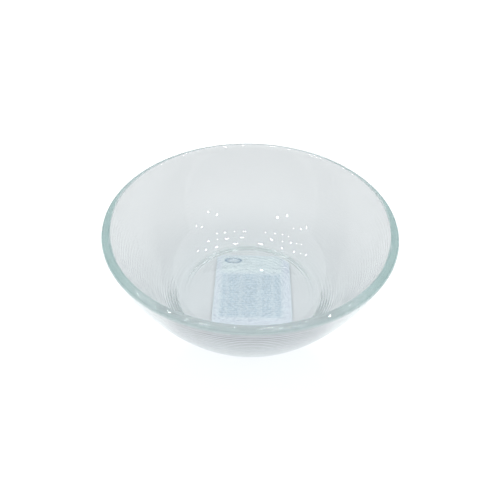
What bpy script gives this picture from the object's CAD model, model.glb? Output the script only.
import math
import bpy
from mathutils import Matrix, Vector

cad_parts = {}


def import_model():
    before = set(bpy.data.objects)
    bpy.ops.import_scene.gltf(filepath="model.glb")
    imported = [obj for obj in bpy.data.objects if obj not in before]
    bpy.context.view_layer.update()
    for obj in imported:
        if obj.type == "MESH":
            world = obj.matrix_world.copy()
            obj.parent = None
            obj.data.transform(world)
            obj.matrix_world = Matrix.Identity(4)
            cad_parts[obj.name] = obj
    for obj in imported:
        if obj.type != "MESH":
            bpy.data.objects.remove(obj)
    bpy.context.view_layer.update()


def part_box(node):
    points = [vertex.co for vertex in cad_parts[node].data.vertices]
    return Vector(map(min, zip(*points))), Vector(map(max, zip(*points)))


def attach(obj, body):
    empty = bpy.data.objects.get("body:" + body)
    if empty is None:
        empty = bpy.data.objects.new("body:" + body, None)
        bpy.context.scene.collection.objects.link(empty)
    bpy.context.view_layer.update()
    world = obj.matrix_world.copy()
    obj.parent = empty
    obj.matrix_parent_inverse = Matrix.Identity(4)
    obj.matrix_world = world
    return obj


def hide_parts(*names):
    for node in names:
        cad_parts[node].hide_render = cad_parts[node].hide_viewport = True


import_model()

# A deep pressed-glass bowl with finely ringed outside, and the paper label
# under its foot. Metres, +Z up, the bowl's axis is Z and it stands on z = 0.

MM = 0.001

# The bowl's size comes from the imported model
BOWL_LOW, BOWL_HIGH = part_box("glass_bowl")
HEIGHT = BOWL_HIGH[2] - BOWL_LOW[2]
RIM_RADIUS = max(BOWL_HIGH[0], BOWL_HIGH[1])

# The section's other dimensions, as in the CAD model
GLASS_THICKNESS = 4.5 * MM
LIP_LEAN = math.radians(15.7)
WALL_CURVE_RADIUS = 139.0 * MM
HEEL_RADIUS = 2.0 * MM
FOOT_FLAT = 1.2 * MM
RECESS_DEPTH = 1.0 * MM
RECESS_SLOPE = 5.3 * MM
FLOOR_THICKNESS = 6.0 * MM
FLOOR_FILLET = 26.0 * MM
RING_PITCH = 2.25 * MM
RING_HEIGHT = 0.08 * MM
CENTRE_PAD_RADIUS = 1.2 * MM

# How finely the glass is divided
AROUND = 320
STEPS_PER_RING = 4
LIP_STEPS = 24
FLOOR_STEPS = 6
FILLET_STEPS = 20
WALL_STEPS = 26
HEEL_STEPS = 5

# The camera, from the bowl's rim
CAMERA_DISTANCE = 3.31 * RIM_RADIUS
CAMERA_ELEVATION = math.radians(38.32)
CAMERA_AIM_DROP = 0.287 * RIM_RADIUS
CAMERA_ROLL = math.radians(1.41)
CAMERA_LENS = 34.56
SENSOR = 36.0
NEAREST_SEEN = 0.01

# The label's layout, as in the CAD model
LABEL_SIZE = (45.5 * MM, 57.5 * MM)
LABEL_CENTRE = (2.2 * MM, 1.8 * MM)
LABEL_CORNER = 2.5 * MM
LABEL_EDGE_GAP = 0.3 * MM
ADHESIVE_INSET = 0.2 * MM
HAIR = 0.005 * MM
CORNER_STEPS = 8
OUTLINE_STEP = 1.0 * MM
MARK_SIZE = (11.0 * MM, 5.0 * MM)
MARK_PLACE = (LABEL_CENTRE[0] - 12.5 * MM, LABEL_CENTRE[1] + 24.0 * MM)
TEXT_TOP = 12.0 * MM
TEXT_ROW_PITCH = 1.4 * MM
TEXT_ROWS = 24
TEXT_HEIGHT = TEXT_ROWS * TEXT_ROW_PITCH
TEXT_COLUMNS = [(-17.0, 2.0), (-11.2, 6.5), (-1.8, 9.0), (8.0, 6.0), (14.6, 4.0)]  # middle and width, mm

# How the print and the paper's tones fade. The mark's ring is measured in half sizes of the mark.
PRINT_BLUR = 0.6 * MM
TEXT_BLOCK_MIDDLE = LABEL_CENTRE[0] - 1 * MM
TEXT_BLOCK_SIDE = (18.5 * MM, 17 * MM)
TEXT_GAP_PRINT = 0.6
INKED_WORD = 0.66
INK_HAZE = 0.14
MARK_RING_MIDDLE = 0.86
MARK_RING_FADE = (0.22, 0.08)
MARK_BAR_PITCH = 1.4 * MM
HEAD_FADE = (12 * MM, 16 * MM)
SIDE_FADE = (17 * MM, 21 * MM)
FOOT_FADE = (-21 * MM, -24 * MM)
EDGE_FADE = (1.2 * MM, 0.5 * MM)  # from the label's edge

# Scales of the noises that roughen the label's materials
WORD_GRAIN = 900.0
FIBRE_GRAIN = 2500.0
CLOUD_GRAIN = 120.0
BUBBLE_GRAIN = 700.0
INK_GRAIN = 1800.0

# The label's colours. Each ink has a full and a thin one.
PAPER = (0.88, 0.94, 0.98)
HEAD_PAPER = (0.92, 0.98, 0.98)
MARGIN_PAPER = (0.91, 0.94, 1.0)
EDGE_PAPER = (0.90, 0.95, 0.99)
TEXT_TONE = (0.44, 0.59, 0.69)
MARK_TONE = (0.26, 0.36, 0.50)
CLOUD_TONE = (0.10, 0.22, 0.30)
MARK_INK = ((0.10, 0.18, 0.30), (0.25, 0.34, 0.46))
TEXT_INK = ((0.06, 0.20, 0.28), (0.22, 0.38, 0.46))
DRY_FILM = (0.92, 0.96, 1.0)
WETTED_FILM = (0.78, 0.86, 0.92)

# The glass
GLASS_TINT = (0.575, 0.592, 0.597)
GLASS_IOR = 1.52
GLASS_DEPTH_TINT = (0.40, 0.80, 0.76)
GLASS_DEPTH_DENSITY = 2.0
CLEAR_TINT = (0.97, 0.98, 0.985)
GLASS_BOUNCES = 128
CLEAR_BOUNCES = 32
BRIGHTEST_BOUNCE = 6.0

# The sky and the painted floor
HORIZON = (0.25, 0.27, 0.30)
ZENITH = (0.98, 0.99, 1.0)
SKY_RISE = (0.0, 0.55)
SKY = 1.15
FLOOR_WHITE = (0.95, 0.95, 0.95)
BASE_SHADE = (0.85, 0.855, 0.86)
BASE_REACH = (54 * MM, 105 * MM)
FRONT_SHADE = (0.695, 0.695, 0.71)
FRONT_CENTRE = (0.0, -75 * MM)
FRONT_REACH = (44 * MM, 72 * MM)
FLOOR_REACH = 3.0
FLOOR_DROP = 0.2 * MM

# The lamps
SOFT_SIZE = 0.8
SOFT_LAMPS = (("soft_key", (-0.5, -0.4, 1.0), 5.3), ("soft_fill", (0.8, -0.1, 0.8), 2.65))
CEILING = 1.5
LAMP_SIDES = 12
LAMP_RADIANCE = 80.0

# The small lamps hang on one even grid, counted in columns to the right and rows to the front, and
# rows are two pitches apart. One lamp off the grid makes the highlight on the label.
LAMP_PITCH = 0.23
LAMP_ORIGIN = (-0.1, 0.45)
NEAR_LAMPS = [(column, row) for row in (0, 1, 2) for column in range(-5, 5) if column != 0 or row == 0]
FAR_LAMPS = [(-15, 4), (-12, 4), (-9, 4), (12, 4), (15, 4), (-9, 6), (-6, 6), (9, 6), (12, 6)]
LABEL_LAMP = (0.7, -2.37)
LAMP_GROUPS = ((0.05, NEAR_LAMPS), (0.10, FAR_LAMPS), (0.014, [LABEL_LAMP]))  # diameter and places


def on_circle(centre, radius, angle):
    return (centre[0] + radius * math.cos(angle), centre[1] + radius * math.sin(angle))


LIP_RADIUS = GLASS_THICKNESS / 2
LIP_CENTRE = (RIM_RADIUS - LIP_RADIUS, HEIGHT - LIP_RADIUS)
LIP_ANGLE = -LIP_LEAN
LIP_FOOT = on_circle(LIP_CENTRE, LIP_RADIUS, LIP_ANGLE)
WALL_CENTRE = on_circle(LIP_FOOT, -WALL_CURVE_RADIUS, LIP_ANGLE)
HEEL_ANGLE = math.asin((HEEL_RADIUS - WALL_CENTRE[1]) / (WALL_CURVE_RADIUS - HEEL_RADIUS))
HEEL_CENTRE = on_circle(WALL_CENTRE, WALL_CURVE_RADIUS - HEEL_RADIUS, HEEL_ANGLE)
FOOT_OUTER = HEEL_CENTRE[0]
FOOT_INNER = FOOT_OUTER - FOOT_FLAT
RECESS_RADIUS = FOOT_INNER - RECESS_SLOPE
RECESS_ROOF = RECESS_DEPTH + RING_HEIGHT
FLOOR_HEIGHT = RECESS_DEPTH + FLOOR_THICKNESS
INNER_WALL_RADIUS = WALL_CURVE_RADIUS - GLASS_THICKNESS
FILLET_REACH = INNER_WALL_RADIUS - FLOOR_FILLET
FILLET_ANGLE = math.asin((FLOOR_HEIGHT + FLOOR_FILLET - WALL_CENTRE[1]) / FILLET_REACH)
FILLET_CENTRE = on_circle(WALL_CENTRE, FILLET_REACH, FILLET_ANGLE)


def arc_points(centre, radius, start, end, steps):
    """Points of the section along an arc, without its last one."""
    return [on_circle(centre, radius, start + (end - start) * i / steps) for i in range(steps)]


def swell(fraction):
    """The height of a ring across its width, from 0 to 1 and back, smooth in the grooves."""
    return math.sin(math.pi * fraction) ** 2


def wall_rings():
    """Rings from the lip down to the heel, without the last point."""
    count = round(WALL_CURVE_RADIUS * (LIP_ANGLE - HEEL_ANGLE) / RING_PITCH)
    steps = count * STEPS_PER_RING
    points = []
    for i in range(steps):
        radius = WALL_CURVE_RADIUS + RING_HEIGHT * swell(i / STEPS_PER_RING)
        points.append(on_circle(WALL_CENTRE, radius, LIP_ANGLE + (HEEL_ANGLE - LIP_ANGLE) * i / steps))
    return points


def straight_rings(start, end):
    """Rings along a straight stretch of the underside, which runs inwards, without its last point."""
    length = math.dist(start, end)
    along = ((end[0] - start[0]) / length, (end[1] - start[1]) / length)
    steps = round(length / RING_PITCH) * STEPS_PER_RING
    points = []
    for i in range(steps):
        run = length * i / steps
        proud = RING_HEIGHT * swell(i / STEPS_PER_RING)
        radius = start[0] + along[0] * run - along[1] * proud
        height = start[1] + along[1] * run + along[0] * proud
        points.append((radius, height))
    return points


def bowl_section():
    """Radius and height of the glass, from the middle of the floor over the lip to the underside."""
    floor = [(FILLET_CENTRE[0] * i / FLOOR_STEPS, FLOOR_HEIGHT) for i in range(1, FLOOR_STEPS)]
    fillet = arc_points(FILLET_CENTRE, FLOOR_FILLET, -math.pi / 2, FILLET_ANGLE, FILLET_STEPS)
    inner_wall = arc_points(WALL_CENTRE, INNER_WALL_RADIUS, FILLET_ANGLE, LIP_ANGLE, WALL_STEPS)
    lip = arc_points(LIP_CENTRE, LIP_RADIUS, LIP_ANGLE + math.pi, LIP_ANGLE, LIP_STEPS)
    heel = arc_points(HEEL_CENTRE, HEEL_RADIUS, HEEL_ANGLE, -math.pi / 2, HEEL_STEPS)
    recess_edge = (RECESS_RADIUS, RECESS_ROOF)
    pad_edge = (CENTRE_PAD_RADIUS, RECESS_ROOF)
    slope = straight_rings((FOOT_INNER, 0.0), recess_edge)
    roof = straight_rings(recess_edge, pad_edge)
    pad = [pad_edge, (CENTRE_PAD_RADIUS / 2, RECESS_ROOF)]
    inside = floor + fillet + inner_wall
    underside = heel + [(FOOT_OUTER, 0.0)] + slope + roof + pad
    return inside + lip + wall_rings() + underside


def mesh_object(name, vertices, faces):
    """A new object in the scene with the given mesh."""
    mesh = bpy.data.meshes.new(name)
    mesh.from_pydata(vertices, [], faces)
    mesh.validate()
    thing = bpy.data.objects.new(name, mesh)
    bpy.context.scene.collection.objects.link(thing)
    return thing


def turned(name, section, around):
    """A closed mesh of revolution about Z. Both ends of the section are closed on the axis."""
    vertices = [(0.0, 0.0, section[0][1])]
    for step in range(around):
        turn = 2 * math.pi * step / around
        vertices += [(r * math.cos(turn), r * math.sin(turn), z) for r, z in section]
    vertices.append((0.0, 0.0, section[-1][1]))
    last = len(vertices) - 1
    rows = len(section)
    faces = []
    for step in range(around):
        here = 1 + step * rows
        there = 1 + (step + 1) % around * rows
        faces.append((0, here, there))
        for row in range(rows - 1):
            faces.append((here + row, here + row + 1, there + row + 1, there + row))
        faces.append((here + rows - 1, last, there + rows - 1))
    piece = mesh_object(name, vertices, faces)
    piece.data.polygons.foreach_set("use_smooth", [True] * len(piece.data.polygons))
    piece.data.update()
    return piece


def new_material(name):
    material = bpy.data.materials.new(name)
    material.use_nodes = True
    material.node_tree.nodes.clear()
    return material


def lit_through(tree, glass, clear):
    """The glass shader, but plain clear to lamp rays and to light bounced off matt surfaces."""
    path = tree.nodes.new("ShaderNodeLightPath")
    surface = glass.outputs[0]
    for ray in ("Is Diffuse Ray", "Is Shadow Ray"):
        mix = tree.nodes.new("ShaderNodeMixShader")
        tree.links.new(path.outputs[ray], mix.inputs[0])
        tree.links.new(surface, mix.inputs[1])
        tree.links.new(clear.outputs[0], mix.inputs[2])
        surface = mix.outputs[0]
    return surface


def glass_material():
    """Tinted glass that colours more where it is thick."""
    material = new_material("sea_green_glass")
    tree = material.node_tree
    out = tree.nodes.new("ShaderNodeOutputMaterial")
    glass = tree.nodes.new("ShaderNodeBsdfPrincipled")
    glass.inputs["Base Color"].default_value = (*GLASS_TINT, 1.0)
    glass.inputs["Roughness"].default_value = 0.0
    glass.inputs["IOR"].default_value = GLASS_IOR
    glass.inputs["Transmission Weight"].default_value = 1.0
    clear = tree.nodes.new("ShaderNodeBsdfTransparent")
    clear.inputs["Color"].default_value = (*CLEAR_TINT, 1.0)
    tree.links.new(lit_through(tree, glass, clear), out.inputs["Surface"])
    depth = tree.nodes.new("ShaderNodeVolumeAbsorption")
    depth.inputs["Color"].default_value = (*GLASS_DEPTH_TINT, 1.0)
    depth.inputs["Density"].default_value = GLASS_DEPTH_DENSITY
    tree.links.new(depth.outputs[0], out.inputs["Volume"])
    return material


def put(tree, socket, value):
    """Sets an input, or links it where the value is another node's output."""
    if isinstance(value, bpy.types.NodeSocket):
        tree.links.new(value, socket)
    else:
        socket.default_value = value


def maths(tree, operation, first, second=0.0):
    node = tree.nodes.new("ShaderNodeMath")
    node.operation = operation
    put(tree, node.inputs[0], first)
    put(tree, node.inputs[1], second)
    return node.outputs[0]


def ramp(tree, value, low, high):
    """0 below low and 1 above high, smooth between, or the other way round where low is the larger."""
    node = tree.nodes.new("ShaderNodeMapRange")
    node.interpolation_type = "SMOOTHSTEP"
    put(tree, node.inputs["Value"], value)
    if low < high:
        ends = (low, high, 0.0, 1.0)
    else:
        ends = (high, low, 1.0, 0.0)
    for name, end in zip(("From Min", "From Max", "To Min", "To Max"), ends):
        node.inputs[name].default_value = end
    return node.outputs[0]


def blend(tree, share, first, second):
    """One colour over another, by a share from 0 to 1."""
    node = tree.nodes.new("ShaderNodeMix")
    node.data_type = "RGBA"
    put(tree, node.inputs[0], share)
    for socket, colour in zip((node.inputs[6], node.inputs[7]), (first, second)):
        put(tree, socket, (*colour, 1.0) if isinstance(colour, tuple) else colour)
    return node.outputs[2]


def noise(tree, place, scale, detail):
    """Uneven values about 0.5."""
    node = tree.nodes.new("ShaderNodeTexNoise")
    tree.links.new(place, node.inputs["Vector"])
    node.inputs["Scale"].default_value = scale
    node.inputs["Detail"].default_value = detail
    return node.outputs["Fac"]


def place_in(tree):
    """The point of the piece that is shaded, in metres."""
    return tree.nodes.new("ShaderNodeTexCoord").outputs["Object"]


def x_and_y(tree, place):
    """A place's distances along X and Y."""
    parts = tree.nodes.new("ShaderNodeSeparateXYZ")
    tree.links.new(place, parts.inputs[0])
    return parts.outputs[0], parts.outputs[1]


def paint(tree, colour, roughness, bump=None, depth=0.0):
    out = tree.nodes.new("ShaderNodeOutputMaterial")
    shader = tree.nodes.new("ShaderNodeBsdfPrincipled")
    put(tree, shader.inputs["Base Color"], colour)
    put(tree, shader.inputs["Roughness"], roughness)
    tree.links.new(shader.outputs[0], out.inputs["Surface"])
    if bump is not None:
        relief = tree.nodes.new("ShaderNodeBump")
        relief.inputs["Distance"].default_value = depth
        tree.links.new(bump, relief.inputs["Height"])
        tree.links.new(relief.outputs[0], shader.inputs["Normal"])
    return shader


def off_centre(tree, along, centre):
    """How far a place is from a centre, either way."""
    return maths(tree, "ABSOLUTE", maths(tree, "SUBTRACT", along, centre))


def length_of(tree, across, along):
    """The length of a slant from its two sides."""
    squares = [maths(tree, "MULTIPLY", side, side) for side in (across, along)]
    return maths(tree, "SQRT", maths(tree, "ADD", *squares))


def distance_from(tree, centre):
    """How far the shaded point is from an upright line through centre."""
    ways = x_and_y(tree, place_in(tree))
    offs = [maths(tree, "SUBTRACT", along, middle) for along, middle in zip(ways, centre)]
    return length_of(tree, *offs)


def text_mask(tree, place, x, y):
    """Where the small print shows through the paper: rows of words in columns."""
    columns = ramp(tree, off_centre(tree, x, TEXT_BLOCK_MIDDLE), *TEXT_BLOCK_SIDE)
    columns = maths(tree, "MULTIPLY", columns, TEXT_GAP_PRINT)
    for centre, width in TEXT_COLUMNS:
        off = off_centre(tree, x, LABEL_CENTRE[0] + centre * MM)
        column = ramp(tree, off, width / 2 * MM + PRINT_BLUR, width / 2 * MM - PRINT_BLUR)
        columns = maths(tree, "MAXIMUM", columns, column)
    block = off_centre(tree, y, LABEL_CENTRE[1] + TEXT_TOP - TEXT_HEIGHT / 2)
    block = ramp(tree, block, TEXT_HEIGHT / 2 + PRINT_BLUR, TEXT_HEIGHT / 2 - PRINT_BLUR)
    below_top = maths(tree, "SUBTRACT", y, LABEL_CENTRE[1] + TEXT_TOP)
    row = maths(tree, "PINGPONG", below_top, TEXT_ROW_PITCH / 2)
    rows = ramp(tree, row, TEXT_ROW_PITCH * 0.42, TEXT_ROW_PITCH * 0.12)
    words = ramp(tree, noise(tree, place, WORD_GRAIN, 1.0), 0.40, 0.50)
    inked = maths(tree, "MULTIPLY", rows, words)
    grey = maths(tree, "ADD", maths(tree, "MULTIPLY", inked, INKED_WORD), INK_HAZE)
    return maths(tree, "MULTIPLY", maths(tree, "MULTIPLY", columns, block), grey)


def mark_mask(tree, x, y):
    """Where the plain rounded mark shows through, with bars inside its ring."""
    from_middle = [maths(tree, "SUBTRACT", along, middle) for along, middle in zip((x, y), MARK_PLACE)]
    halves = [maths(tree, "DIVIDE", off, size / 2) for off, size in zip(from_middle, MARK_SIZE)]
    radius = length_of(tree, *halves)
    ring = ramp(tree, off_centre(tree, radius, MARK_RING_MIDDLE), *MARK_RING_FADE)
    bar = maths(tree, "PINGPONG", from_middle[1], MARK_BAR_PITCH / 2)
    bars = ramp(tree, bar, 0.25 * MM, 0.5 * MM)
    inside = maths(tree, "MULTIPLY", bars, ramp(tree, radius, 0.8, 0.7))
    faint_ring = maths(tree, "MULTIPLY", ring, 0.8)
    faint_bars = maths(tree, "MULTIPLY", inside, 0.5)
    return maths(tree, "MAXIMUM", faint_ring, faint_bars)


def edge_mask(tree, x, y):
    """The label's outermost strip, where no print reaches."""
    strips = []
    for along, centre, size in zip((x, y), LABEL_CENTRE, LABEL_SIZE):
        inner, outer = [size / 2 - inset for inset in EDGE_FADE]
        strips.append(ramp(tree, off_centre(tree, along, centre), inner, outer))
    return maths(tree, "MAXIMUM", *strips)


def margin_mask(tree, x, y):
    """The label's paler margins, at both sides and at the foot."""
    side = ramp(tree, off_centre(tree, x, TEXT_BLOCK_MIDDLE), *SIDE_FADE)
    foot = ramp(tree, y, *[LABEL_CENTRE[1] + fade for fade in FOOT_FADE])
    return maths(tree, "MAXIMUM", side, foot)


def paper_material():
    """Pale blue label paper with its print showing through from below."""
    material = new_material("printed_label_paper")
    tree = material.node_tree
    place = place_in(tree)
    x, y = x_and_y(tree, place)
    head = ramp(tree, y, *[LABEL_CENTRE[1] + fade for fade in HEAD_FADE])
    colour = blend(tree, head, PAPER, HEAD_PAPER)
    colour = blend(tree, margin_mask(tree, x, y), colour, MARGIN_PAPER)
    colour = blend(tree, text_mask(tree, place, x, y), colour, TEXT_TONE)
    colour = blend(tree, mark_mask(tree, x, y), colour, MARK_TONE)
    colour = blend(tree, edge_mask(tree, x, y), colour, EDGE_PAPER)
    fibre = noise(tree, place, FIBRE_GRAIN, 4.0)
    cloud = noise(tree, place, CLOUD_GRAIN, 2.0)
    uneven = maths(tree, "MULTIPLY", maths(tree, "ADD", fibre, cloud), 0.5)
    clouded = blend(tree, 0.10, colour, CLOUD_TONE)
    colour = blend(tree, ramp(tree, uneven, 0.35, 0.75), clouded, colour)
    paint(tree, colour, ramp(tree, fibre, -0.8, 1.2), fibre, 0.03 * MM)
    return material


def adhesive_material():
    """Clear film, wetted out in rings where the glass presses on it."""
    material = new_material("clear_adhesive_film")
    tree = material.node_tree
    off_axis = distance_from(tree, (0.0, 0.0))
    from_pad = maths(tree, "SUBTRACT", off_axis, CENTRE_PAD_RADIUS)
    ring = maths(tree, "PINGPONG", from_pad, RING_PITCH / 2)
    wetted = ramp(tree, ring, RING_PITCH * 0.16, RING_PITCH * 0.34)
    bubbles = ramp(tree, noise(tree, place_in(tree), BUBBLE_GRAIN, 3.0), 0.52, 0.62)
    film = blend(tree, wetted, DRY_FILM, WETTED_FILM)
    shader = paint(tree, film, 0.35)
    film_haze = maths(tree, "MULTIPLY", wetted, 0.015)
    bubble_haze = maths(tree, "MULTIPLY", bubbles, 0.04)
    haze = maths(tree, "ADD", maths(tree, "ADD", film_haze, bubble_haze), 0.02)
    put(tree, shader.inputs["Alpha"], haze)
    return material


def ink_material(name, colour, thin_colour):
    """Printing ink, thinner in places where the paper's grain took less of it."""
    material = new_material(name)
    tree = material.node_tree
    grain = noise(tree, place_in(tree), INK_GRAIN, 3.0)
    worn = blend(tree, ramp(tree, grain, 0.45, 0.7), colour, thin_colour)
    paint(tree, worn, ramp(tree, grain, -0.6, 1.6))
    return material


def give(piece, material):
    piece.data.materials.clear()
    piece.data.materials.append(material)


def glass_bowl():
    piece = turned("ringed_glass_bowl", bowl_section(), AROUND)
    give(piece, glass_material())
    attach(piece, "root")
    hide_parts("glass_bowl")


def label_outline(inset):
    """The label's outline: a rectangle with rounded corners, cut back where it would leave the recess."""
    corner = LABEL_CORNER - inset
    reach = (LABEL_SIZE[0] / 2 - LABEL_CORNER, LABEL_SIZE[1] / 2 - LABEL_CORNER)
    room = RECESS_RADIUS - LABEL_EDGE_GAP - inset
    ends = []
    for quarter, (side, end) in enumerate(((1, 1), (-1, 1), (-1, -1), (1, -1))):
        centre = (LABEL_CENTRE[0] + side * reach[0], LABEL_CENTRE[1] + end * reach[1])
        for i in range(CORNER_STEPS + 1):
            ends.append(on_circle(centre, corner, (quarter + i / CORNER_STEPS) * math.pi / 2))
    outline = []
    for here, there in zip(ends, ends[1:] + ends[:1]):
        steps = max(1, round(math.dist(here, there) / OUTLINE_STEP))
        for i in range(steps):
            x = here[0] + (there[0] - here[0]) * i / steps
            y = here[1] + (there[1] - here[1]) * i / steps
            keep = min(1.0, room / math.hypot(x, y))
            outline.append((x * keep, y * keep))
    return outline


def slab(name, outline, bottom, top):
    """A closed flat plate with the given outline."""
    count = len(outline)
    vertices = [(x, y, z) for z in (bottom, top) for x, y in outline]
    sides = [(i, (i + 1) % count, (i + 1) % count + count, i + count) for i in range(count)]
    ends = [tuple(reversed(range(count))), tuple(range(count, 2 * count))]
    return mesh_object(name, vertices, ends + sides)


def adhesive_film():
    """The clear film between glass and paper, a hair thinner than the gap that it fills."""
    low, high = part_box("label_adhesive")
    piece = slab("adhesive_film", label_outline(ADHESIVE_INSET), low[2] + HAIR, high[2] - HAIR)
    give(piece, adhesive_material())
    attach(piece, "root")
    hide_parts("label_adhesive")


def label():
    adhesive_film()
    give(bpy.data.objects["label_sheet"], paper_material())
    give(bpy.data.objects["label_mark_print"], ink_material("mark_ink", *MARK_INK))
    give(bpy.data.objects["label_text_print"], ink_material("text_ink", *TEXT_INK))


def floor_material():
    """White studio paper, softly shaded under the bowl and more so in front of it."""
    material = new_material("studio_paper")
    tree = material.node_tree
    past_base = ramp(tree, distance_from(tree, (0.0, 0.0)), *BASE_REACH)
    past_front = ramp(tree, distance_from(tree, FRONT_CENTRE), *FRONT_REACH)
    colour = blend(tree, past_front, FRONT_SHADE, blend(tree, past_base, BASE_SHADE, FLOOR_WHITE))
    shader = paint(tree, colour, 0.8)
    shader.inputs["Specular IOR Level"].default_value = 0.0
    return material


def floor():
    ways = ((-1, -1), (1, -1), (1, 1), (-1, 1))
    corners = [(x * FLOOR_REACH, y * FLOOR_REACH, -FLOOR_DROP) for x, y in ways]
    plane = mesh_object("studio_floor", corners, [(0, 1, 2, 3)])
    give(plane, floor_material())


def camera():
    data = bpy.data.cameras.new("camera")
    data.sensor_width = SENSOR
    data.lens = CAMERA_LENS
    data.clip_start = NEAREST_SEEN
    rim_centre = Vector((0, 0, LIP_CENTRE[1]))
    offset = Vector((0, -math.cos(CAMERA_ELEVATION), math.sin(CAMERA_ELEVATION))) * CAMERA_DISTANCE
    place = rim_centre + offset
    aim = rim_centre - Vector((0, 0, CAMERA_AIM_DROP))
    turn = (aim - place).to_track_quat("-Z", "Y").to_matrix().to_4x4()
    eye = bpy.data.objects.new("camera", data)
    eye.matrix_world = Matrix.Translation(place) @ turn @ Matrix.Rotation(CAMERA_ROLL, 4, "Z")
    bpy.context.scene.collection.objects.link(eye)
    bpy.context.scene.camera = eye


def area_lamp(name, place, aim, size, watts):
    data = bpy.data.lights.new(name, "AREA")
    data.shape = "DISK"
    data.size = size
    data.energy = watts
    lamp = bpy.data.objects.new(name, data)
    lamp.location = place
    lamp.rotation_euler = (Vector(aim) - Vector(place)).to_track_quat("-Z", "Y").to_euler()
    bpy.context.scene.collection.objects.link(lamp)
    return lamp


def world():
    """Soft studio light from above, dimmer towards the horizon."""
    sky = bpy.data.worlds.new("studio")
    sky.use_nodes = True
    tree = sky.node_tree
    background = tree.nodes["Background"]
    way = tree.nodes.new("ShaderNodeSeparateXYZ")
    tree.links.new(tree.nodes.new("ShaderNodeTexCoord").outputs["Generated"], way.inputs[0])
    height = ramp(tree, way.outputs[2], *SKY_RISE)
    put(tree, background.inputs["Color"], blend(tree, height, HORIZON, ZENITH))
    background.inputs["Strength"].default_value = SKY
    bpy.context.scene.world = sky


def lamp_material():
    material = new_material("lamp_glow")
    nodes = material.node_tree.nodes
    out = nodes.new("ShaderNodeOutputMaterial")
    glow = nodes.new("ShaderNodeEmission")
    glow.inputs["Strength"].default_value = LAMP_RADIANCE
    material.node_tree.links.new(glow.outputs[0], out.inputs["Surface"])
    material.cycles.emission_sampling = "NONE"
    return material


def ceiling_lamps():
    """Flat discs, seen only as glints in the glass."""
    vertices = []
    faces = []
    for size, spots in LAMP_GROUPS:
        for column, row in spots:
            place = (LAMP_ORIGIN[0] + column * LAMP_PITCH, LAMP_ORIGIN[1] - 2 * row * LAMP_PITCH)
            faces.append(range(len(vertices), len(vertices) + LAMP_SIDES))
            for side in range(LAMP_SIDES):
                vertices.append((*on_circle(place, size / 2, 2 * math.pi * side / LAMP_SIDES), CEILING))
    lamps = mesh_object("ceiling_lamps", vertices, faces)
    give(lamps, lamp_material())
    lamps.visible_camera = False
    lamps.visible_diffuse = False
    lamps.visible_shadow = False


def lights():
    for name, place, watts in SOFT_LAMPS:
        lamp = area_lamp(name, place, (0, 0, 0), SOFT_SIZE, watts)
        lamp.visible_glossy = False
        lamp.visible_transmission = False
    ceiling_lamps()


def look():
    """Many bounces for the glass, and no caustics, which it lets straight through instead."""
    scene = bpy.context.scene
    scene.view_settings.view_transform = "Standard"
    scene.cycles.use_denoising = True
    scene.cycles.max_bounces = GLASS_BOUNCES
    scene.cycles.transmission_bounces = GLASS_BOUNCES
    scene.cycles.glossy_bounces = GLASS_BOUNCES
    scene.cycles.transparent_max_bounces = CLEAR_BOUNCES
    scene.cycles.sample_clamp_indirect = BRIGHTEST_BOUNCE
    scene.cycles.caustics_refractive = False
    scene.cycles.caustics_reflective = False


glass_bowl()
label()
floor()
camera()
world()
lights()
look()
